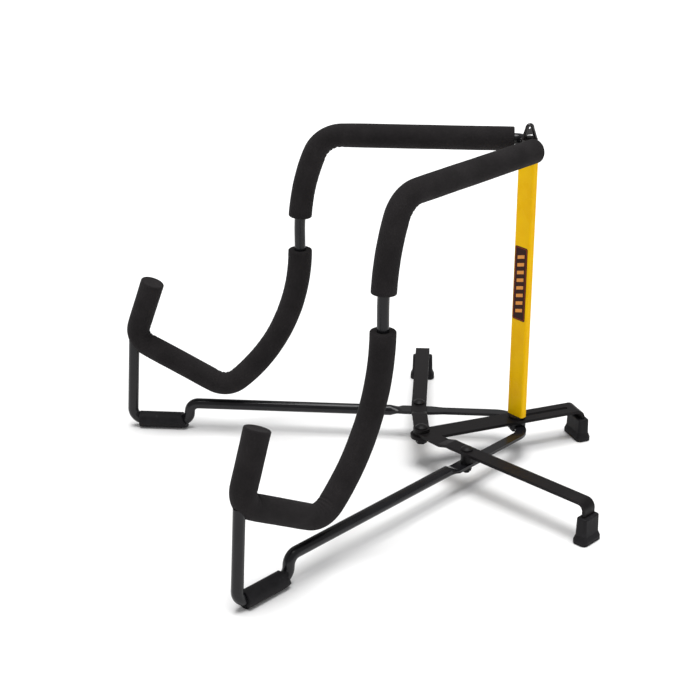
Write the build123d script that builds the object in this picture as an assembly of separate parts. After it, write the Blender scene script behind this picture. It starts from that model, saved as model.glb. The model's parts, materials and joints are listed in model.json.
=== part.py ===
from build123d import *
import os
from math import asin, atan2, cos, degrees, hypot, radians, sin, sqrt, tan

# A folding floor stand for a guitar. Two bent-rod frames with foam sleeves swing on a flat post.
# Two side links and a slotted centre bar join the frames' legs, so the whole stand folds like a kite.
# Millimetres, +Z up, the instrument side is -Y. Right is +X. The floor is z = 0.
# The shapes are modelled with the post's axis on Z and each frame folded straight ahead; placed()
# and swung() then put them in the open stand, with the origin under the middle of its outer box.

# ---- Driving dimensions ----------------------------------------------------------------------
post_axis_y = 134.58           # the post stands this far behind the origin
open_angle = 25.5              # each frame's swing away from straight ahead, stand open
plane_offset = 16.8            # each frame's plane lies beside the post's axis by this much

rod_diameter = 10.5
foam_upper_diameter = 22.2
foam_lower_diameter = 22.8
flat_thickness = 3.0           # every pressed end, link and bar
running_gap = 0.075            # radial clearance of a turning pin
eye_pin_diameter = 4.0         # the post's top and bottom screws
link_pin_diameter = 6.0

post_width = 19.6
post_depth = 7.2
post_wall = 1.1
post_corner = 1.8
post_turn = 19.0               # the post's wide face is turned this much about its axis
post_bottom = 35.4
post_top = 301.8
plug_length = 24.0

label_bottom = 136.0
label_height = 73.5
label_thickness = 0.25
label_margin = 1.4             # yellow left showing beside the label

arm_height = 307.4             # centre of the arm rods
arm_hook_radius = 10.0         # the arm hooks in to the post's axis
arm_hook_angle = 75.0
arm_foam_start = 13.1          # distance ahead of the post
bend_radius = 28.0             # from the arm down into the drop
drop_lean = 22.0               # the drop's lean at its top; it is plumb at its foot
drop_ahead = 212.0             # distance of the plumb stretch ahead of the post
drop_plumb_height = 212.0      # where the drop becomes plumb
foam_gap_top = 228.0
foam_gap_bottom = 194.5
sweep_height = 196.0           # where the cradle's long curve starts
sweep_radius = 186.0
sweep_turn = 48.8
valley_radius = 22.0
valley_turn = 70.7
tray_length = 74.2             # straight stretch from the valley to the elbow
elbow_radius = 17.0
elbow_turn = 80.0
prong_length = 44.0
foam_tip = 5.0                 # foam beyond the rod's end

foot_height = 8.0              # centre of the rod inside the front foot's sleeve
leg_height = 27.2              # centre of the leg's long straight
leg_corner_front = 385.0       # distances ahead of the post
leg_corner_back = 327.5
leg_rise = 325.5
leg_top = (378.7, 94.0)
leg_radii = (11.0, 9.0, 9.0)
leg_round_end = 124.0          # the rod is round ahead of this
flare_front = 112.5            # the pressed flare around the link pivot
flare_back = 84.0
flare_width = 13.4
neck_start = 72.0
neck_width = 10.0
hook_radius = 19.0             # the pressed leg hooks in to the post's axis
hook_angle = 60.0
lower_eye_radius = 9.0
upper_eye_radius = 8.2

sleeve_diameter = 16.0
sleeve_front = 377.5           # ahead of the post
sleeve_turn = 24.0             # its rear end follows the rod's rise by this much
sleeve_slit = 0.9

link_pivot_ahead = 96.0        # pivot C: link to leg, measured along the leg
nose_ahead = 101.0             # pivot F: both links to the centre bar, on the middle line
link_width = 14.6
link_reach = 132.6             # pivot C to where the link bends down
link_straight_slope = 24.7     # slope of the link's outer stretch in plan, stand open
link_step = {1: 3.1, -1: -3.0}  # right link steps up, left link down, between F and C
link_step_start = 30.0         # before pivot C
link_step_end = 20.0
link_kink = 15.0               # the link's edge turns this far before pivot C
link_bend_radius = 6.5

bar_width = 21.0
bar_reach = 61.6               # behind the post's axis, where the bar bends down
slot_clearance = 0.15

side_cap_shoulder = 25.6
rear_cap_shoulder = 23.0
cap_taper = 1.5                # degrees, narrower at the shoulder
cap_lip_height = 4.0
cap_lip = 1.6
cap_skirt = 3.8                # the body flares over this height above the lip
cap_wall = 4.4
cap_floor = 5.0                # rubber under the leg's end

# Heights of the stacked flat pieces, each the underside.
lower_eye_bottom = {1: 23.2, -1: 26.5}       # right leg, left leg
upper_eye_bottom = {1: 304.1, -1: 307.5}     # right arm, left arm
bar_bottom = 29.8
link_nose_bottom = {1: 33.1, -1: 36.4}       # right link, left link
layer_gap = 0.15

# ---- Worked out from them --------------------------------------------------------------------
rod_radius = rod_diameter / 2
pivot_distance = hypot(plane_offset, link_pivot_ahead)
a = radians(open_angle)
pivot_c = (plane_offset * cos(a) + link_pivot_ahead * sin(a),
           plane_offset * sin(a) - link_pivot_ahead * cos(a))
link_length = hypot(pivot_c[0], pivot_c[1] + nose_ahead)
nose_folded = link_pivot_ahead + sqrt(link_length ** 2 - plane_offset ** 2)
bar_travel = nose_folded - nose_ahead


# ---- Small helpers ---------------------------------------------------------------------------
def placed(shape):
    """From the post's axis to the stand's own origin."""
    return Pos(0, post_axis_y, 0) * shape


def swung(shape, side):
    """A right-hand, straight-ahead shape, opened out; side -1 mirrors it to the left."""
    opened = Rot(0, 0, open_angle) * shape
    return opened if side > 0 else mirror(opened, about=Plane.YZ)


def sided(shape, side):
    return shape if side > 0 else mirror(shape, about=Plane.YZ)


def bent(start, heading, moves):
    """Edges of a bent rod's line in a plane: a move is (length,) or (radius, turn in degrees)."""
    point = Vector(*start)
    edges = []
    for move in moves:
        tangent = (cos(radians(heading)), sin(radians(heading)))
        if len(move) == 1:
            edge = Line(point, point + Vector(*tangent) * move[0])
        else:
            edge = JernArc(start=point, tangent=tangent, radius=move[0], arc_size=move[1])
            heading += move[1]
        edges.append(edge)
        point = edge @ 1
    return edges, point, heading


def tube_along(edges, diameter):
    """A round bar along joined edges."""
    path = Wire(edges)
    return sweep(Plane(origin=path @ 0, z_dir=path % 0) * Circle(diameter / 2), path=path)


def strip_along(path, side_dir, width, thickness):
    """A flat bar along a path, its width along side_dir at the start."""
    section = Plane(origin=path @ 0, x_dir=side_dir, z_dir=path % 0) * Rectangle(width, thickness)
    return sweep(section, path=path)


def disc(radius, bottom, height, centre=(0, 0)):
    return Pos(centre[0], centre[1], bottom) * extrude(Circle(radius), height)


def plate(face, bottom, height):
    return Pos(0, 0, bottom) * extrude(face, height)


def dome(radius, height, centre, bottom):
    """A button head: a slice of a ball on a short rim."""
    rim = height * 0.3
    ball_radius = (radius ** 2 + (height - rim) ** 2) / (2 * (height - rim))
    ball = Pos(centre[0], centre[1], bottom + height - ball_radius) * Sphere(ball_radius)
    return ball & disc(radius, bottom, height + 1, centre)


# ---- Frames ----------------------------------------------------------------------------------
frame_plane = Plane(origin=(plane_offset, 0, 0), x_dir=(0, -1, 0), z_dir=(-1, 0, 0))


def on_frame(edges):
    """In-plane edges, drawn as (distance ahead, height), moved to the frame's plane."""
    return [frame_plane * e for e in edges]


hook_turn = radians(arm_hook_angle)
arm_hook_reach = (plane_offset - arm_hook_radius * (1 - cos(hook_turn))) / sin(hook_turn)
hook_ahead = arm_hook_reach * cos(hook_turn) + arm_hook_radius * sin(hook_turn)
bend_turn = 90 - drop_lean
drop_top_height = arm_height - bend_radius * (1 - cos(radians(bend_turn)))
drop_radius = (drop_top_height - drop_plumb_height) / sin(radians(drop_lean))
drop_top_ahead = drop_ahead - drop_radius * (1 - cos(radians(drop_lean)))
bend_start = drop_top_ahead - bend_radius * sin(radians(bend_turn))
drop_below_foam = degrees(asin((foam_gap_top - drop_plumb_height) / drop_radius))
sweep_above_foam = degrees(asin((sweep_height - foam_gap_bottom) / sweep_radius))


def upper_stretch(start_ahead):
    """Arm, bend and drop, as far as the upper foam reaches."""
    return bent((start_ahead, arm_height), 0, [
        (bend_start - start_ahead,),
        (bend_radius, -bend_turn),
        (drop_radius, -(drop_lean - drop_below_foam)),
    ])


def gap_stretch():
    """The bare rod between the two foams."""
    _, point, heading = upper_stretch(arm_foam_start)
    return bent(point, heading, [
        (drop_radius, -drop_below_foam),
        (drop_plumb_height - sweep_height,),
        (sweep_radius, sweep_above_foam),
    ])


def lower_stretch(tip):
    """The cradle: long curve, valley, tray, elbow and prong."""
    _, point, heading = gap_stretch()
    return bent(point, heading, [
        (sweep_radius, sweep_turn - sweep_above_foam),
        (valley_radius, valley_turn),
        (tray_length,),
        (elbow_radius, elbow_turn),
        (prong_length + tip,),
    ])


def cradle_rod(side):
    """One rod from the eye on the post's top screw to the prong's tip."""
    inner = (arm_hook_reach * sin(hook_turn), -arm_hook_reach * cos(hook_turn))
    outward = Vector(sin(hook_turn), -cos(hook_turn), 0)
    hook = Pos(0, 0, arm_height) * JernArc(start=inner, tangent=(outward.X, outward.Y),
                                           radius=arm_hook_radius, arc_size=-arm_hook_angle)
    edges = [hook] + on_frame(upper_stretch(hook_ahead)[0] + gap_stretch()[0] + lower_stretch(0)[0])
    rod = tube_along(edges, rod_diameter)
    bottom = upper_eye_bottom[side]
    middle = bottom + flat_thickness / 2
    press = 1.3
    tongue_end = arm_hook_reach - press
    round_end = Plane(origin=hook @ 0, x_dir=(0, 0, 1), z_dir=outward) * Circle(rod_radius)
    flat_origin = Vector(0, 0, middle) + outward * tongue_end
    flat_end = Plane(origin=flat_origin, x_dir=(0, 0, 1), z_dir=outward) \
        * Rectangle(flat_thickness, rod_diameter)
    pressed = loft([flat_end, round_end])
    tongue = Rot(0, 0, -(90 - arm_hook_angle)) * Pos(tongue_end / 2, 0) * Rectangle(tongue_end, rod_diameter)
    eye = plate(Circle(upper_eye_radius) + tongue, bottom, flat_thickness)
    hole = disc(eye_pin_diameter / 2 + running_gap, bottom - 1, flat_thickness + 2)
    return rod + pressed + eye - hole


def leg_rod(side):
    """The front leg: down from the elbow, along the floor, up and back, pressed flat to the post."""
    line = FilletPolyline(leg_top, (leg_corner_front, foot_height), (leg_corner_back, foot_height),
                          (leg_rise, leg_height), (leg_round_end, leg_height), radius=list(leg_radii))
    rod = tube_along(on_frame(line.edges()), rod_diameter)
    bottom = lower_eye_bottom[side]
    middle = bottom + flat_thickness / 2

    round_end = Plane(origin=(plane_offset, -leg_round_end, leg_height), x_dir=(1, 0, 0),
                      z_dir=(0, 1, 0)) * Circle(rod_radius)
    flat_end = Plane(origin=(plane_offset, -flare_front, middle), x_dir=(1, 0, 0),
                     z_dir=(0, 1, 0)) * Rectangle(flare_width, flat_thickness)
    pressed = loft([round_end, flat_end])

    half_flare = flare_width / 2
    half_neck = neck_width / 2
    outline = Polyline((plane_offset - half_flare, -flare_front), (plane_offset + half_flare, -flare_front),
                       (plane_offset + half_flare, -flare_back), (plane_offset + half_neck, -neck_start),
                       (plane_offset - half_neck, -neck_start), (plane_offset - half_flare, -flare_back),
                       close=True)
    flare = make_face(outline)
    turn = radians(hook_angle)
    after_turn = plane_offset - hook_radius * (1 - cos(turn))
    inward = after_turn / sin(turn)
    hook_start = inward * cos(turn) + hook_radius * sin(turn)
    neck_edges, _, _ = bent((plane_offset, -neck_start), 90, [
        (neck_start - hook_start,), (hook_radius, hook_angle), (inward,)])
    neck_path = Pos(0, 0, middle) * Wire(neck_edges)
    neck = strip_along(neck_path, (1, 0, 0), neck_width, flat_thickness)
    flat = plate(flare, bottom, flat_thickness) + neck + disc(lower_eye_radius, bottom, flat_thickness)
    eye_hole = disc(eye_pin_diameter / 2 + running_gap, bottom - 1, flat_thickness + 2)
    pivot_hole = disc(link_pin_diameter / 2, bottom - 1, flat_thickness + 2,
                      (plane_offset, -link_pivot_ahead))
    return rod + pressed + flat - eye_hole - pivot_hole


def upper_foam(rod):
    return tube_along(on_frame(upper_stretch(arm_foam_start)[0]), foam_upper_diameter) - rod


def lower_foam(rod, leg):
    return tube_along(on_frame(lower_stretch(foam_tip)[0]), foam_lower_diameter) - rod - leg


def foot_sleeve(leg):
    """A split rubber sleeve snapped on the front foot."""
    rise = atan2(leg_height - foot_height, leg_corner_back - leg_rise)
    bend_start = leg_corner_back + leg_radii[1] * tan(rise / 2)
    line, _, _ = bent((sleeve_front, foot_height), 180, [
        (sleeve_front - bend_start,), (leg_radii[1], -sleeve_turn)])
    sleeve = tube_along(on_frame(line), sleeve_diameter)
    length = sleeve_front - bend_start
    slit = Pos(plane_offset, -(sleeve_front + bend_start) / 2, foot_height) * Rot(0, 60, 0) \
        * Pos(sleeve_diameter / 2, 0, 0) * Box(sleeve_diameter, length + 24, sleeve_slit)
    return sleeve - leg - slit


# ---- Link pivot on the leg -------------------------------------------------------------------
def link_bottom(side):
    """Underside of the link's outer stretch."""
    return link_nose_bottom[side] + link_step[side]


def link_bolt(side):
    """Button-headed pin through link, spacer and leg, closed by a nut underneath."""
    centre = (plane_offset, -link_pivot_ahead)
    leg_bottom = lower_eye_bottom[side]
    top = link_bottom(side) + flat_thickness + layer_gap
    nut_height = 4.4
    end = leg_bottom - nut_height - 2.6
    shank = disc(link_pin_diameter / 2, end, top - end, centre)
    nut = Pos(*centre, leg_bottom - nut_height) * extrude(RegularPolygon(5.4, 6), nut_height)
    return dome(5.7, 3.3, centre, top) + shank + nut


def link_spacer(side):
    centre = (plane_offset, -link_pivot_ahead)
    bottom = lower_eye_bottom[side] + flat_thickness
    height = link_bottom(side) - layer_gap - bottom
    return disc(5.6, bottom, height, centre) - disc(link_pin_diameter / 2, bottom - 1, height + 2, centre)


# ---- Side links ------------------------------------------------------------------------------
link_dir = (cos(radians(link_straight_slope)), sin(radians(link_straight_slope)))


def along_link(distance, aside=0.0):
    """A plan point at a distance beyond pivot C along the link's outer stretch."""
    return (pivot_c[0] + link_dir[0] * distance - link_dir[1] * aside,
            pivot_c[1] + link_dir[1] * distance + link_dir[0] * aside)


def side_link(side):
    """A flat bar from the nose pivot, stepped to the leg pivot's level, then bent down as a foot."""
    nose_bottom = link_nose_bottom[side]
    low = nose_bottom + flat_thickness / 2
    outer_level = low + link_step[side]
    end_z = cap_floor
    foot_line = link_reach + link_bend_radius
    back = -(link_length + 20)
    line = FilletPolyline((*along_link(back), low), (*along_link(-link_step_start), low),
                          (*along_link(-link_step_end), outer_level), (*along_link(foot_line), outer_level),
                          (*along_link(foot_line), end_z),
                          radius=[6.0, 6.0, link_bend_radius])
    bar = strip_along(line, (-link_dir[1], link_dir[0], 0), link_width + 20, flat_thickness)

    half = link_width / 2
    kink = along_link(-link_kink)
    nose = (0.0, -nose_ahead)
    slope = degrees(atan2(kink[1] - nose[1], kink[0] - nose[0]))
    inner = Pos(*nose) * Rot(0, 0, slope) * Pos(hypot(kink[0] - nose[0], kink[1] - nose[1]) / 2, 0) \
        * Rectangle(hypot(kink[0] - nose[0], kink[1] - nose[1]), link_width)
    outer_length = foot_line + link_kink + 30
    outer = Pos(*kink) * Rot(0, 0, link_straight_slope) * Pos(outer_length / 2, 0) \
        * Rectangle(outer_length, link_width)
    outline = inner + outer + Pos(*nose) * Circle(half + 0.6) + Pos(*kink) * Circle(half)
    shape = bar & plate(outline, 0, low + 20)
    nose_hole = disc(link_pin_diameter / 2 + running_gap, nose_bottom - 1, flat_thickness + 2, nose)
    leg_hole = disc(link_pin_diameter / 2 + running_gap, link_bottom(side) - 1, flat_thickness + 2, pivot_c)
    return sided(shape - nose_hole - leg_hole, side)


def rubber_cap(leg, centre, turn, leg_width, shoulder):
    """A rectangular rubber boot with a flared sole, drawn around a flat leg."""
    across = flat_thickness + 2 * cap_wall
    along = leg_width + 2 * cap_wall * 0.85
    body = extrude(RectangleRounded(across, along, 3.2), shoulder, taper=cap_taper)
    body = fillet(body.faces().sort_by(Axis.Z)[-1].edges(), 1.5)
    lip = extrude(RectangleRounded(across + 2 * cap_lip, along + 2 * cap_lip, 4.6), cap_lip_height)
    lip = fillet(lip.faces().sort_by(Axis.Z)[0].edges(), 1.1)
    skirt_angle = degrees(atan2(cap_lip, cap_skirt))
    skirt = extrude(RectangleRounded(across + 2 * cap_lip, along + 2 * cap_lip, 4.6), cap_skirt,
                    taper=skirt_angle)
    boot = body + lip + Pos(0, 0, cap_lip_height) * skirt
    rim = [e for e in boot.edges() if abs(e.center().Z - cap_lip_height) < 0.01]
    boot = fillet(rim, 1.2)
    return Pos(centre[0], centre[1], 0) * Rot(0, 0, turn) * boot - leg


# ---- Centre bar ------------------------------------------------------------------------------
def centre_bar():
    """The slotted bar that slides under the post, from the nose pivot to the rear foot."""
    middle = bar_bottom + flat_thickness / 2
    line = FilletPolyline((0, -nose_ahead, middle), (0, bar_reach + link_bend_radius, middle),
                          (0, bar_reach + link_bend_radius, cap_floor), radius=[link_bend_radius])
    bar = strip_along(line, (1, 0, 0), bar_width, flat_thickness)
    bar += disc(bar_width / 2, bar_bottom, flat_thickness, (0, -nose_ahead))
    slot_half = eye_pin_diameter / 2 + slot_clearance
    slot = Pos(0, bar_travel / 2) * Rot(0, 0, 90) * SlotCenterToCenter(bar_travel + 0.4, 2 * slot_half)
    nose_hole = disc(link_pin_diameter / 2, bar_bottom - 1, flat_thickness + 2, (0, -nose_ahead))
    return bar - plate(slot, bar_bottom - 1, flat_thickness + 2) - nose_hole


def nose_bolt_head():
    """Upper half of the nose pivot: button head and a stub in the upper link's hole."""
    link_top = link_nose_bottom[-1] + flat_thickness
    centre = (0, -nose_ahead)
    stub = disc(link_pin_diameter / 2 + running_gap, link_top - flat_thickness + 0.1, flat_thickness - 0.1, centre)
    return dome(6.0, 3.4, centre, link_top) + stub


def nose_bolt_nut():
    """Lower half of the nose pivot: nut, washer and a stub in the centre bar's hole."""
    centre = (0, -nose_ahead)
    stub = disc(link_pin_diameter / 2, 23.2, bar_bottom + flat_thickness - 0.1 - 23.2, centre)
    washer = disc(8.2, bar_bottom - 1.4, 1.4, centre)
    nut = Pos(*centre, bar_bottom - 6.0) * extrude(RegularPolygon(5.6, 6), 4.6)
    return stub + washer + nut


# ---- Post ------------------------------------------------------------------------------------
def post_section(width, depth, corner):
    return Rot(0, 0, post_turn) * RectangleRounded(width, depth, corner)


def post_tube():
    height = post_top - post_bottom
    outer = plate(post_section(post_width, post_depth, post_corner), post_bottom, height)
    inner = plate(post_section(post_width - 2 * post_wall, post_depth - 2 * post_wall,
                               post_corner - post_wall), post_bottom, height)
    return outer - inner


def post_plug(bottom, pin_bottom, pin_height):
    """A steel plug in the tube's end, tapped for the screw."""
    face = post_section(post_width - 2 * post_wall, post_depth - 2 * post_wall, post_corner - post_wall)
    return plate(face, bottom, plug_length) - disc(eye_pin_diameter / 2, pin_bottom, pin_height)


def post_label():
    """A plain panel on the post's wide front face."""
    width = post_width - 2 * label_margin - 2 * post_corner * 0.3
    panel = RectangleRounded(width, label_height, 1.8)
    face_plane = Plane(origin=(0, -post_depth / 2, label_bottom + label_height / 2),
                       x_dir=(1, 0, 0), z_dir=(0, -1, 0))
    return Rot(0, 0, post_turn) * (face_plane * extrude(panel, label_thickness))


screw_depth = 18.0
lower_head_height = 4.0
lower_head_top = lower_eye_bottom[1] - layer_gap
upper_stack_top = upper_eye_bottom[-1] + flat_thickness
hanger_base = 1.8
loop_top = 327.0                # the stand's full height


def bottom_screw():
    """Hex-headed screw up through both leg eyes and the bar's slot into the post."""
    head = Pos(0, 0, lower_head_top - lower_head_height) * extrude(RegularPolygon(6.4, 6), lower_head_height)
    top = post_bottom + screw_depth
    return head + disc(eye_pin_diameter / 2, lower_head_top, top - lower_head_top)


def bottom_washer():
    bottom = bar_bottom + flat_thickness + layer_gap
    ring = disc(8.0, bottom, post_bottom - bottom)
    return ring - disc(eye_pin_diameter / 2, bottom - 1, 10)


def top_washer():
    height = upper_eye_bottom[1] - layer_gap - post_top
    return disc(7.0, post_top, height) - disc(eye_pin_diameter / 2, post_top - 1, height + 2)


def top_screw():
    head_bottom = upper_stack_top + layer_gap + hanger_base
    head = disc(3.5, head_bottom, 2.3)
    bottom = post_top - screw_depth
    return head + disc(eye_pin_diameter / 2, bottom, head_bottom - bottom)


def hang_loop():
    """A small eye: bent wire around a pressed web, standing on a washer under the top screw's head."""
    base_bottom = upper_stack_top + layer_gap
    wire = 3.4
    eye_radius = 2.7
    eye_hole = 1.2
    web = 1.8
    eye_centre = loop_top - wire / 2 - eye_radius
    foot = (6.4, base_bottom + hanger_base - 0.6)
    yz = Plane(origin=(0, 0, 0), x_dir=(0, 1, 0), z_dir=(1, 0, 0))
    shape = disc(7.8, base_bottom, hanger_base)
    for hand in (1, -1):
        flank = Line((hand * foot[0], foot[1]), (hand * eye_radius, eye_centre))
        quarter = JernArc(start=(hand * eye_radius, eye_centre), tangent=(0, 1), radius=eye_radius,
                          arc_size=hand * 90)
        for edge in (flank, quarter):
            start = yz * edge
            shape += sweep(Plane(origin=start @ 0, z_dir=start % 0) * Circle(wire / 2), path=start)
        shape += yz * Pos(hand * eye_radius, eye_centre) * Sphere(wire / 2)
    between = make_face(Polyline(foot, (eye_radius, eye_centre), (-eye_radius, eye_centre),
                                 (-foot[0], foot[1]), close=True))
    between += Pos(0, eye_centre) * Circle(eye_radius)
    between -= Pos(0, eye_centre) * Circle(eye_hole)
    shape += Pos(-web / 2, 0, 0) * (yz * extrude(between, web))
    shape -= disc(eye_pin_diameter / 2, base_bottom - 1, hanger_base + 2)
    head_room = disc(3.6, base_bottom + hanger_base, 4)
    below = disc(12, base_bottom - 10, 10)
    return shape - head_room - below


# ---- All the pieces --------------------------------------------------------------------------
def all_parts():
    parts = {
        "post_tube": post_tube(),
        "post_label": post_label(),
        "post_bottom_plug": post_plug(post_bottom, post_bottom - 1, screw_depth + 1),
        "post_top_plug": post_plug(post_top - plug_length, post_top - screw_depth, screw_depth + 1),
        "bottom_screw": bottom_screw(),
        "bottom_washer": bottom_washer(),
        "top_screw": top_screw(),
        "top_washer": top_washer(),
        "hang_loop": hang_loop(),
        "centre_bar": centre_bar(),
        "nose_bolt_head": nose_bolt_head(),
        "nose_bolt_nut": nose_bolt_nut(),
    }
    rear = (0, bar_reach + link_bend_radius)
    parts["rear_foot_cap"] = rubber_cap(parts["centre_bar"], rear, 90, bar_width, rear_cap_shoulder)
    foot_line = link_reach + link_bend_radius
    for side, name in ((1, "right"), (-1, "left")):
        rod = cradle_rod(side)
        leg = leg_rod(side) - rod
        link = side_link(side)
        foot = along_link(foot_line)
        parts[name + "_cradle_rod"] = swung(rod, side)
        parts[name + "_leg_rod"] = swung(leg, side)
        parts[name + "_upper_foam"] = swung(upper_foam(rod), side)
        parts[name + "_lower_foam"] = swung(lower_foam(rod, leg), side)
        parts[name + "_front_foot_sleeve"] = swung(foot_sleeve(leg), side)
        parts[name + "_link_bolt"] = swung(link_bolt(side), side)
        parts[name + "_link_spacer"] = swung(link_spacer(side), side)
        parts[name + "_side_link"] = link
        parts[name + "_foot_cap"] = rubber_cap(link, (side * foot[0], foot[1]), side * link_straight_slope,
                                               link_width, side_cap_shoulder)
    return parts


os.makedirs("parts", exist_ok=True)
for node, shape in all_parts().items():
    export_step(placed(shape), "parts/" + node + ".step")
print("bar travel", round(bar_travel, 3), "pivot C", [round(v, 3) for v in pivot_c], "link", round(link_length, 3))
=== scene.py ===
import json
from math import asin, cos, degrees, pi, radians, sin

import bmesh
import bpy
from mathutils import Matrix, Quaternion, Vector, noise


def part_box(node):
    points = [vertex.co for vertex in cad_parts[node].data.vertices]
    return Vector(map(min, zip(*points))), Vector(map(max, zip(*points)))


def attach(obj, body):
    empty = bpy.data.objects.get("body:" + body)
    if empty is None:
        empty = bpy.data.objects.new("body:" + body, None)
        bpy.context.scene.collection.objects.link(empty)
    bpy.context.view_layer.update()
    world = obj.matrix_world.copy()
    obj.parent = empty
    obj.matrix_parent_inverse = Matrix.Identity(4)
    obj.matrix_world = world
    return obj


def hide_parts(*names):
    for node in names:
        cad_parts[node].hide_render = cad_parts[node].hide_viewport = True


# The looks of the folding guitar stand: foam sleeves, the label's print, materials, light and camera.
# Lengths are millimetres until they are multiplied by MM, angles are degrees until radians().
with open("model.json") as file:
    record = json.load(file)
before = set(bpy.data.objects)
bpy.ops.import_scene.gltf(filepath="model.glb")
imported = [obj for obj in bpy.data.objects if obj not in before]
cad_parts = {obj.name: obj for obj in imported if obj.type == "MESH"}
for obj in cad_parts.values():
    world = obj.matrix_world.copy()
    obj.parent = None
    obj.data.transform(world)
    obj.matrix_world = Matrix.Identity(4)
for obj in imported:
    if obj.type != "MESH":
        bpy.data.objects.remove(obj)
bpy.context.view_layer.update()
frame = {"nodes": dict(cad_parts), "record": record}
nodes = frame["nodes"]
scene = bpy.context.scene
MM = 0.001
SIDES = {"right": 1, "left": -1}

# ---- Driving dimensions, as the frame has them -------------------------------------------------
joints = {joint["name"]: joint for joint in frame["record"]["behaviour"]["joints"]}
POST_Y = joints["right_frame_fold"]["pos_m"][1] / MM
OPEN_ANGLE = joints["right_frame_fold"]["range_deg"][1]
PLANE_OFFSET = 16.8            # a frame's plane lies beside the post's axis by this much
ROD_RADIUS = 5.25
UPPER_FOAM_RADIUS = 11.1
LOWER_FOAM_RADIUS = 11.4
ARM_HEIGHT = 307.4             # centre of the arm rods
ARM_FOAM_START = 13.1          # distance ahead of the post
BEND_RADIUS = 28.0             # from the arm down into the drop
DROP_LEAN = 22.0               # the drop's lean at its top; it is plumb at its foot
DROP_AHEAD = 212.0             # distance of the plumb stretch ahead of the post
DROP_PLUMB_HEIGHT = 212.0      # where the drop becomes plumb
FOAM_GAP_TOP = 228.0
FOAM_GAP_BOTTOM = 194.5
SWEEP_HEIGHT = 196.0           # where the cradle's long curve starts
SWEEP_RADIUS = 186.0
SWEEP_TURN = 48.8
VALLEY = (22.0, 70.7)          # radius and turn
TRAY_LENGTH = 74.2
ELBOW = (17.0, 80.0)           # radius and turn
PRONG_LENGTH = 44.0
FOAM_TIP = 5.0                 # foam beyond the rod's end
POST_TURN = 19.0               # the post's wide face is turned this much about its axis
LABEL_THICKNESS = 0.25


def stand_point(ahead, aside, height, side):
    """A point of a frame, straight ahead of the post, opened out and put in the stand, in metres."""
    turn = radians(OPEN_ANGLE)
    across = PLANE_OFFSET + aside
    x = across * cos(turn) + ahead * sin(turn)
    y = across * sin(turn) - ahead * cos(turn)
    return Vector((side * x, y + POST_Y, height)) * MM


# ---- Mesh helpers -------------------------------------------------------------------------------
def mesh_object(name, verts, faces, smooth=True):
    """A linked object from points in metres, its doubles merged and its normals outward."""
    mesh = bpy.data.meshes.new(name)
    mesh.from_pydata([tuple(v) for v in verts], [], faces)
    bm = bmesh.new()
    bm.from_mesh(mesh)
    bmesh.ops.remove_doubles(bm, verts=bm.verts, dist=1e-6)
    bmesh.ops.recalc_face_normals(bm, faces=bm.faces)
    bm.to_mesh(mesh)
    bm.free()
    obj = bpy.data.objects.new(name, mesh)
    scene.collection.objects.link(obj)
    for face in mesh.polygons:
        face.use_smooth = smooth
    return obj


def tube_faces(rings, segments):
    """Quads between consecutive rings."""
    faces = []
    for i in range(rings - 1):
        a = i * segments
        b = a + segments
        for j in range(segments):
            k = (j + 1) % segments
            faces.append((a + j, a + k, b + k, b + j))
    return faces


# ---- Foam sleeves -------------------------------------------------------------------------------
FOAM_STEP = 1.25               # between rings
FOAM_SEGMENTS = 72
SLOW_UNEVENNESS = 0.20
FINE_UNEVENNESS = 0.07
FULL_FOLD_RADIUS = 26.0        # a bend this tight or tighter has full folds
FOLD_PITCH = 6.8
FOLD_DEPTH = 0.95
FOLD_WANDER = 2.2              # how far a fold strays from its even place
SQUEEZED = 0.1                 # thinner all over inside a bend
STRETCHED = 0.35               # thinner outside a bend
RIM_RADIUS = 1.1
RIM_DISH = 0.25                # the cut end is hollow by this much near the bore
BORE_DEPTH = 7.0
TIP_ROUND = 1.3
TIP_DISH = 0.35                # the tip's face is hollow by this much


def trace(start, heading, moves):
    """Rows (ahead, height, heading, curvature) at even steps along straight runs and arcs."""
    ahead, height = start
    rows = []
    for move in moves:
        turn = radians(move[1]) if len(move) == 2 else 0.0
        length = move[0] * abs(turn) if turn else move[0]
        count = max(1, round(length / FOAM_STEP))
        step = turn / count
        chord = 2 * move[0] * sin(abs(step) / 2) if turn else length / count
        for _ in range(count):
            rows.append((ahead, height, heading, turn / length))
            ahead += chord * cos(heading + step / 2)
            height += chord * sin(heading + step / 2)
            heading += step
    rows.append((ahead, height, heading, rows[-1][3]))
    return rows


def eased(rows, reach=6):
    """The same rows, each with its curvature averaged over its neighbours."""
    out = []
    for i, row in enumerate(rows):
        near = [r[3] for r in rows[max(0, i - reach):i + reach + 1]]
        out.append((row[0], row[1], row[2], sum(near) / len(near)))
    return out


def foam_radius(base, along, angle, curvature, seed):
    """The sleeve's radius: a slow unevenness, folds inside each bend, thinner outside it."""
    ring = Vector((cos(angle), sin(angle), 0)) * 0.8
    radius = base + SLOW_UNEVENNESS * noise.noise(Vector((along * 0.028, seed, 0)) + ring)
    radius += FINE_UNEVENNESS * noise.noise(Vector((along * 0.11, seed + 7, 3)) + ring * 2.4)
    inside = cos(angle) if curvature > 0 else -cos(angle)
    strength = min(1.0, abs(curvature) * FULL_FOLD_RADIUS)
    wander = FOLD_WANDER * noise.noise(Vector((along * 0.09, seed, 9)) + ring * 0.7)
    fold = (0.5 + 0.5 * sin(2 * pi * (along + wander) / FOLD_PITCH)) ** 3
    radius -= strength * max(0.0, inside) ** 2 * (FOLD_DEPTH * fold + SQUEEZED)
    radius -= strength * max(0.0, -inside) ** 2 * STRETCHED
    return radius


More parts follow.
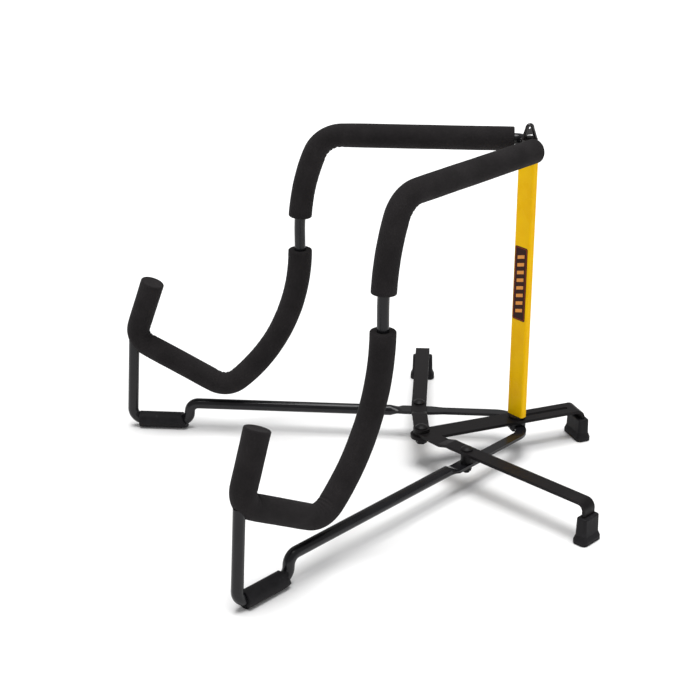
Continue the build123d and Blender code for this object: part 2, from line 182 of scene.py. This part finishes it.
def foam_sleeve(name, side, rows, base, seed, closed_tip):
    """A sleeve around the rod: cut ends with a soft rim and a bore, or a closed tip at the far end."""
    rows = eased(rows)
    last = len(rows) - 1
    verts = []

    def ring(row, radius_at, shift=0.0):
        ahead, height, heading, _ = row
        ahead += shift * cos(heading)
        height += shift * sin(heading)
        for j in range(FOAM_SEGMENTS):
            angle = 2 * pi * j / FOAM_SEGMENTS
            radius = radius_at(angle)
            up = radius * cos(angle)
            verts.append(stand_point(ahead - sin(heading) * up, radius * sin(angle),
                                     height + cos(heading) * up, side))

    def body_radius(i):
        return lambda angle: foam_radius(base, i * FOAM_STEP, angle, rows[i][3], seed)

    def rim(sign, end):
        """Rings (radius, shift) from the body over the rim into the bore, at the far end for sign 1."""
        outer = body_radius(end)
        made = []
        for k in range(1, 5):
            bend = k / 4 * pi / 2
            inset = RIM_RADIUS * (1 - cos(bend))
            out = RIM_RADIUS * (sin(bend) - 1)
            made.append((lambda a, i=inset: outer(a) - i, sign * out))
        for share in (0.72, 0.4, 0.14):
            made.append((lambda a, s=share: ROD_RADIUS + 0.1 + (base - RIM_RADIUS - ROD_RADIUS) * s,
                         -sign * RIM_DISH * (1 - share)))
        for clearance, depth in ((0.35, 0.3), (0.02, 1.0), (0.02, BORE_DEPTH)):
            made.append((lambda a, c=clearance: ROD_RADIUS + c, -sign * depth))
        return made

    for radius, shift in reversed(rim(-1, 0)):
        ring(rows[0], radius, shift)
    for i in range(1, last - 1):
        ring(rows[i], body_radius(i))
    if closed_tip:
        outer = body_radius(last)
        for k in range(7):
            bend = k / 6 * pi / 2
            inset = TIP_ROUND * (1 - cos(bend))
            ring(rows[last], lambda a, i=inset: outer(a) - i, TIP_ROUND * (sin(bend) - 1))
        for share in (0.8, 0.55, 0.3, 0.08):
            ring(rows[last], lambda a, s=share: (base - TIP_ROUND) * s, TIP_DISH * (share ** 2 - 1))
    else:
        for radius, shift in rim(1, last):
            ring(rows[last], radius, shift)
    count = len(verts) // FOAM_SEGMENTS
    faces = tube_faces(count, FOAM_SEGMENTS)
    if closed_tip:
        faces.append(tuple(range((count - 1) * FOAM_SEGMENTS, count * FOAM_SEGMENTS)))
        faces.append(tuple(range(FOAM_SEGMENTS)))
    return mesh_object(name, verts, faces)


def lean_parts():
    """The bend's turn, the drop's radius, where the bend starts and the drop's turn below the foam."""
    bend_turn = 90 - DROP_LEAN
    top_height = ARM_HEIGHT - BEND_RADIUS * (1 - cos(radians(bend_turn)))
    drop_radius = (top_height - DROP_PLUMB_HEIGHT) / sin(radians(DROP_LEAN))
    top_ahead = DROP_AHEAD - drop_radius * (1 - cos(radians(DROP_LEAN)))
    bend_start = top_ahead - BEND_RADIUS * sin(radians(bend_turn))
    below_foam = degrees(asin((FOAM_GAP_TOP - DROP_PLUMB_HEIGHT) / drop_radius))
    return bend_turn, drop_radius, bend_start, below_foam


def upper_rows():
    """The arm, the bend and the upper part of the drop."""
    bend_turn, drop_radius, bend_start, below_foam = lean_parts()
    return trace((ARM_FOAM_START, ARM_HEIGHT), 0.0, [
        (bend_start - ARM_FOAM_START,), (BEND_RADIUS, -bend_turn),
        (drop_radius, -(DROP_LEAN - below_foam))])


def lower_rows():
    """From below the bare stretch: the long curve, valley, tray, elbow and prong."""
    _, drop_radius, _, below_foam = lean_parts()
    ahead, height, heading, _ = upper_rows()[-1]
    above_foam = degrees(asin((SWEEP_HEIGHT - FOAM_GAP_BOTTOM) / SWEEP_RADIUS))
    gap = trace((ahead, height), heading, [
        (drop_radius, -below_foam), (DROP_PLUMB_HEIGHT - SWEEP_HEIGHT,), (SWEEP_RADIUS, above_foam)])
    ahead, height, heading, _ = gap[-1]
    return trace((ahead, height), heading, [
        (SWEEP_RADIUS, SWEEP_TURN - above_foam), VALLEY, (TRAY_LENGTH,), ELBOW,
        (PRONG_LENGTH + FOAM_TIP,)])


sleeves = []
for count, (hand, side) in enumerate(SIDES.items()):
    upper = foam_sleeve(hand + "_arm_sleeve", side, upper_rows(), UPPER_FOAM_RADIUS,
                        seed=1.7 + count * 5.3, closed_tip=False)
    lower = foam_sleeve(hand + "_cradle_sleeve", side, lower_rows(), LOWER_FOAM_RADIUS,
                        seed=3.1 + count * 4.9, closed_tip=True)
    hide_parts(hand + "_upper_foam")
    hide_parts(hand + "_lower_foam")
    for obj in (upper, lower):
        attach(obj, hand + "_frame")
        sleeves.append(obj)


# ---- Materials ----------------------------------------------------------------------------------
class Finish:
    """A Principled material built node by node, textured in the object's own coordinates."""

    def __init__(self, name, **sockets):
        self.material = bpy.data.materials.new(name)
        self.material.use_nodes = True
        self.tree = self.material.node_tree
        self.shader = self.tree.nodes["Principled BSDF"]
        for socket, value in sockets.items():
            self.shader.inputs[socket.replace("_", " ")].default_value = value
        self.coords = self.tree.nodes.new("ShaderNodeTexCoord").outputs["Object"]
        self.normal = None

    def node(self, kind, **settings):
        node = self.tree.nodes.new(kind)
        for key, value in settings.items():
            setattr(node, key, value)
        return node

    def link(self, out, into):
        self.tree.links.new(out, into)

    def noise(self, size, detail=3.0, roughness=0.55, stretch=None):
        """Fractal noise whose grains are about size millimetres across."""
        node = self.node("ShaderNodeTexNoise")
        node.inputs["Scale"].default_value = 1 / (size * MM)
        node.inputs["Detail"].default_value = detail
        node.inputs["Roughness"].default_value = roughness
        self.link(self.stretched(stretch), node.inputs["Vector"])
        return node.outputs["Fac"]

    def cells(self, size):
        """Round cells about size millimetres across."""
        node = self.node("ShaderNodeTexVoronoi")
        node.inputs["Scale"].default_value = 1 / (size * MM)
        self.link(self.coords, node.inputs["Vector"])
        return node.outputs["Distance"]

    def stretched(self, stretch):
        """The object's coordinates, scaled along each axis by stretch."""
        if stretch is None:
            return self.coords
        node = self.node("ShaderNodeMapping")
        node.inputs["Scale"].default_value = stretch
        self.link(self.coords, node.inputs["Vector"])
        return node.outputs["Vector"]

    def math(self, operation, a, b):
        node = self.node("ShaderNodeMath", operation=operation)
        for socket, value in zip(node.inputs, (a, b)):
            if isinstance(value, (int, float)):
                socket.default_value = value
            else:
                self.link(value, socket)
        return node.outputs[0]

    def blend(self, a, b, share):
        """Mixes two grey patterns: share is the part that b has."""
        return self.math("ADD", self.math("MULTIPLY", a, 1 - share), self.math("MULTIPLY", b, share))

    def ramp(self, fac, *stops):
        node = self.node("ShaderNodeValToRGB")
        elements = node.color_ramp.elements
        elements[0].position = stops[0][0]
        elements[1].position = stops[-1][0]
        for place, _ in stops[1:-1]:
            elements.new(place)
        for element, (_, colour) in zip(elements, stops):
            element.color = (*colour, 1)
        self.link(fac, node.inputs["Fac"])
        return node.outputs["Color"]

    def colour(self, fac, *stops):
        """Each stop is a place on the pattern's scale and the linear colour there."""
        self.link(self.ramp(fac, *stops), self.shader.inputs["Base Color"])

    def roughness(self, fac, low, high):
        """Noise keeps mostly between 0.3 and 0.7, so that range is spread from low to high."""
        node = self.node("ShaderNodeMapRange")
        node.inputs["From Min"].default_value = 0.3
        node.inputs["From Max"].default_value = 0.7
        node.inputs["To Min"].default_value = low
        node.inputs["To Max"].default_value = high
        self.link(fac, node.inputs["Value"])
        self.link(node.outputs["Result"], self.shader.inputs["Roughness"])

    def bump(self, height, depth, strength=1.0):
        """Adds relief of that depth in millimetres over what is there already."""
        node = self.node("ShaderNodeBump")
        node.inputs["Strength"].default_value = strength
        node.inputs["Distance"].default_value = depth * MM
        self.link(height, node.inputs["Height"])
        if self.normal is not None:
            self.link(self.normal, node.inputs["Normal"])
        self.normal = node.outputs["Normal"]
        self.link(self.normal, self.shader.inputs["Normal"])


def foam_finish():
    """Closed-cell foam: fine pores, a slightly warm black, no gloss."""
    f = Finish("foam", Specular_IOR_Level=0.10, Sheen_Weight=0.02, Sheen_Roughness=0.5)
    pores = f.cells(0.62)
    fine = f.noise(0.35, 4)
    slow = f.noise(24, 3)
    grain = f.blend(pores, fine, 0.5)
    f.colour(f.blend(grain, slow, 0.4), (0.22, (0.0065, 0.0055, 0.0058)), (0.5, (0.0150, 0.0134, 0.0140)),
             (0.78, (0.0300, 0.0270, 0.0280)))
    f.roughness(fine, 0.8, 0.95)
    f.bump(slow, 0.30, 0.5)
    f.bump(pores, 0.16, 0.9)
    f.bump(fine, 0.07, 0.8)
    return f.material


def coated_finish(name, dark, light, rough, peel, depth, specular):
    """Black coat over steel: orange peel of that size and depth, faint dust and rubbed patches."""
    f = Finish(name, Specular_IOR_Level=specular)
    skin = f.noise(peel, 2, 0.5)
    patches = f.noise(18, 5, 0.65)
    specks = f.noise(0.5, 2, 0.4)
    f.colour(f.blend(patches, specks, 0.35), (0.30, dark), (0.62, light),
             (0.80, tuple(c * 1.8 for c in light)))
    f.roughness(patches, *rough)
    f.bump(skin, depth, 0.9)
    f.bump(specks, depth * 0.35, 0.6)
    return f.material


def rubber_finish():
    """Moulded black rubber: fine grain with a few scuffs."""
    f = Finish("rubber", Specular_IOR_Level=0.14)
    grain = f.cells(0.45)
    scuffs = f.noise(6, 6, 0.7, (1, 1, 0.35))
    f.colour(scuffs, (0.30, (0.0062, 0.0058, 0.0066)), (0.62, (0.0135, 0.0130, 0.0145)),
             (0.78, (0.0420, 0.0410, 0.0430)))
    f.roughness(scuffs, 0.48, 0.72)
    f.bump(f.noise(9, 2), 0.15, 0.5)
    f.bump(grain, 0.05, 0.8)
    return f.material


def paint_finish():
    """Yellow gloss paint on the tube, with a faint peel and a little dust."""
    f = Finish("post_paint", Specular_IOR_Level=0.06, Coat_Weight=0.03, Coat_Roughness=0.10)
    slow = f.noise(34, 4, 0.6)
    specks = f.noise(0.55, 3, 0.5)
    f.colour(f.blend(slow, specks, 0.3), (0.30, (0.88, 0.460, 0.0003)), (0.55, (0.96, 0.560, 0.0004)),
             (0.80, (0.98, 0.610, 0.0008)))
    f.roughness(slow, 0.22, 0.36)
    f.bump(f.noise(1.6, 2), 0.045, 0.8)
    return f.material


def steel_finish():
    """Zinc-plated steel with drawn lines."""
    f = Finish("zinc_steel", Metallic=1.0)
    drawn = f.noise(0.8, 3, 0.6, (1, 1, 0.05))
    f.colour(drawn, (0.3, (0.42, 0.42, 0.44)), (0.7, (0.62, 0.62, 0.64)))
    f.roughness(drawn, 0.28, 0.45)
    f.bump(drawn, 0.02)
    return f.material


def film_finish(name, dark, light, rough):
    """Printed label film: near flat, with a fine tooth."""
    f = Finish(name, Specular_IOR_Level=0.10, Coat_Weight=0.03, Coat_Roughness=0.2)
    print_grain = f.noise(0.3, 3)
    f.colour(print_grain, (0.3, dark), (0.7, light))
    f.roughness(f.noise(8, 4), *rough)
    f.bump(print_grain, 0.012, 0.7)
    return f.material


finishes = {
    "foam": foam_finish(),
    "black_rod": coated_finish("black_rod", (0.0060, 0.0058, 0.0070), (0.0115, 0.0112, 0.0130),
                               rough=(0.15, 0.26), peel=1.6, depth=0.03, specular=0.26),
    "black_flat": coated_finish("black_flat", (0.0065, 0.0056, 0.0060), (0.0125, 0.0112, 0.0118),
                                rough=(0.28, 0.44), peel=1.1, depth=0.06, specular=0.09),
    "black_hardware": coated_finish("black_hardware", (0.0060, 0.0056, 0.0060), (0.0140, 0.0132, 0.0138),
                                    rough=(0.34, 0.50), peel=0.8, depth=0.03, specular=0.12),
    "black_wire": coated_finish("black_wire", (0.0080, 0.0060, 0.0062), (0.0160, 0.0135, 0.0140),
                                rough=(0.14, 0.26), peel=1.0, depth=0.03, specular=0.45),
    "rubber": rubber_finish(),
    "post_paint": paint_finish(),
    "label": film_finish("label", (0.0230, 0.0045, 0.0030), (0.0380, 0.0080, 0.0050), (0.32, 0.46)),
    "zinc_steel": steel_finish(),
}
label_ink = film_finish("label_ink", (0.74, 0.270, 0.050), (0.86, 0.360, 0.080), (0.32, 0.46))
label_edge_ink = film_finish("label_edge_ink", (0.30, 0.030, 0.006), (0.40, 0.050, 0.010), (0.32, 0.46))

for entry in frame["record"]["subparts"]:
    obj = nodes[entry["node"]]
    obj.data.materials.clear()
    obj.data.materials.append(finishes[entry["material_slot"]])
for obj in sleeves:
    obj.data.materials.append(finishes["foam"])


# ---- The label's print: a thin border and a row of slanted bars, no lettering --------------------
INK_TOP = 0.05                 # above the label's face
INK_BOTTOM = -0.03
BORDER_MARGIN = 0.9
BORDER_WIDTH = 0.45
BORDER_CORNERS = (1.4, 1.0)    # corner radii of the border's outer and inner edges
CORNER_STEPS = 6
BAR_COUNT = 8
BAR_HEIGHT = 3.4
BAR_SLANT = 2.6
BAR_END_GAP = 4.6              # the row keeps this far from the border's short sides
BAR_SIDE_GAP = 2.2             # each bar keeps this far from its long sides


def label_print():
    lo, hi = (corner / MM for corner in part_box("post_label"))
    turn = radians(POST_TURN)
    across = Vector((cos(turn), sin(turn), 0))
    outward = Vector((sin(turn), -cos(turn), 0))
    half_width = ((hi.x - lo.x) - outward.x * LABEL_THICKNESS) / cos(turn) / 2
    half_height = (hi.z - lo.z) / 2
    face = (lo + hi) / 2 + outward * (LABEL_THICKNESS / 2)

    def point(aside, height, level):
        return (face + across * aside + outward * level + Vector((0, 0, height))) * MM

    def rounded(inset, corner):
        """The panel's outline, drawn in by inset, with round corners."""
        outline = []
        for quarter, (right, up) in enumerate(((1, 1), (-1, 1), (-1, -1), (1, -1))):
            for k in range(CORNER_STEPS + 1):
                angle = (quarter + k / CORNER_STEPS) * pi / 2
                outline.append((right * (half_width - inset - corner) + corner * cos(angle),
                                up * (half_height - inset - corner) + corner * sin(angle)))
        return outline

    inner_margin = BORDER_MARGIN + BORDER_WIDTH
    outer_loop = rounded(BORDER_MARGIN, BORDER_CORNERS[0])
    inner_loop = rounded(inner_margin, BORDER_CORNERS[1])
    section = ((outer_loop, INK_BOTTOM), (outer_loop, INK_TOP),
               (inner_loop, INK_TOP), (inner_loop, INK_BOTTOM))
    verts = [point(u, v, level) for outline, level in section for u, v in outline]
    rim = mesh_object("label_border", verts, tube_faces(len(section), len(outer_loop)), smooth=False)
    rim.data.materials.append(label_edge_ink)

    verts, faces = [], []
    reach = half_width - inner_margin - BAR_SIDE_GAP
    pitch = 2 * (half_height - inner_margin - BAR_END_GAP) / BAR_COUNT
    for k in range(BAR_COUNT):
        middle = pitch * (k + 0.5 - BAR_COUNT / 2)
        first = len(verts)
        for level in (INK_BOTTOM, INK_TOP):
            for hand, up in ((-1, -1), (1, -1), (1, 1), (-1, 1)):
                verts.append(point(hand * reach, middle + (hand * BAR_SLANT + up * BAR_HEIGHT) / 2, level))
        faces.append((first + 4, first + 5, first + 6, first + 7))
        for i in range(4):
            j = (i + 1) % 4
            faces.append((first + i, first + j, first + 4 + j, first + 4 + i))
    marks = mesh_object("label_print", verts, faces, smooth=False)
    marks.data.materials.append(label_ink)
    for obj in (rim, marks):
        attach(obj, "post")


label_print()


# ---- Floor, light and camera, in metres ---------------------------------------------------------
FLOOR_REACH = 40.0
CAMERA_AZIMUTH = 69.39
CAMERA_ELEVATION = 23.87
CAMERA_ROLL = -0.19
CAMERA_DISTANCE = 1.397
CAMERA_FOCAL_LENGTH = 78.63    # millimetres, on a sensor 36 wide
CAMERA_SENSOR = 36
TARGET_AHEAD = 0.1736          # distance of the camera's target ahead of the post's axis
TARGET_HEIGHT = 0.1316


def add_floor():
    size = FLOOR_REACH
    floor = mesh_object("floor", [(-size, -size, 0), (size, -size, 0), (size, size, 0), (-size, size, 0)],
                        [(0, 1, 2, 3)], smooth=False)
    f = Finish("studio_floor", Specular_IOR_Level=0.1)
    f.colour(f.noise(60, 2), (0.3, (0.93, 0.93, 0.93)), (0.7, (0.95, 0.95, 0.95)))
    f.roughness(f.noise(5, 2), 0.85, 0.95)
    floor.data.materials.append(f.material)


def add_sun(name, lean, heading, spread, strength):
    """A soft light from above: lean is its angle off the vertical, spread the angle that it fills."""
    light = bpy.data.lights.new(name, "SUN")
    light.energy = strength
    light.angle = radians(spread)
    obj = bpy.data.objects.new(name, light)
    obj.rotation_euler = (radians(lean), 0, radians(heading))
    scene.collection.objects.link(obj)


def add_world(strength):
    world = bpy.data.worlds.new("studio")
    scene.world = world
    world.use_nodes = True
    background = world.node_tree.nodes["Background"]
    background.inputs["Color"].default_value = (1, 1, 1, 1)
    background.inputs["Strength"].default_value = strength


def add_camera():
    azimuth, elevation = radians(CAMERA_AZIMUTH), radians(CAMERA_ELEVATION)
    target = Vector((0, POST_Y * MM - TARGET_AHEAD, TARGET_HEIGHT))
    away = Vector((sin(azimuth) * cos(elevation), -cos(azimuth) * cos(elevation), sin(elevation)))
    camera = bpy.data.cameras.new("camera")
    camera.sensor_width = CAMERA_SENSOR
    camera.lens = CAMERA_FOCAL_LENGTH
    obj = bpy.data.objects.new("camera", camera)
    obj.location = target + away * CAMERA_DISTANCE
    look = (-away).to_track_quat("-Z", "Y")
    obj.rotation_mode = "QUATERNION"
    obj.rotation_quaternion = look @ Quaternion((0, 0, 1), radians(CAMERA_ROLL))
    scene.collection.objects.link(obj)
    scene.camera = obj


add_floor()
add_sun("overhead", lean=2, heading=70, spread=38, strength=3.0)
add_world(strength=0.42)
add_camera()
scene.view_settings.view_transform = "Standard"
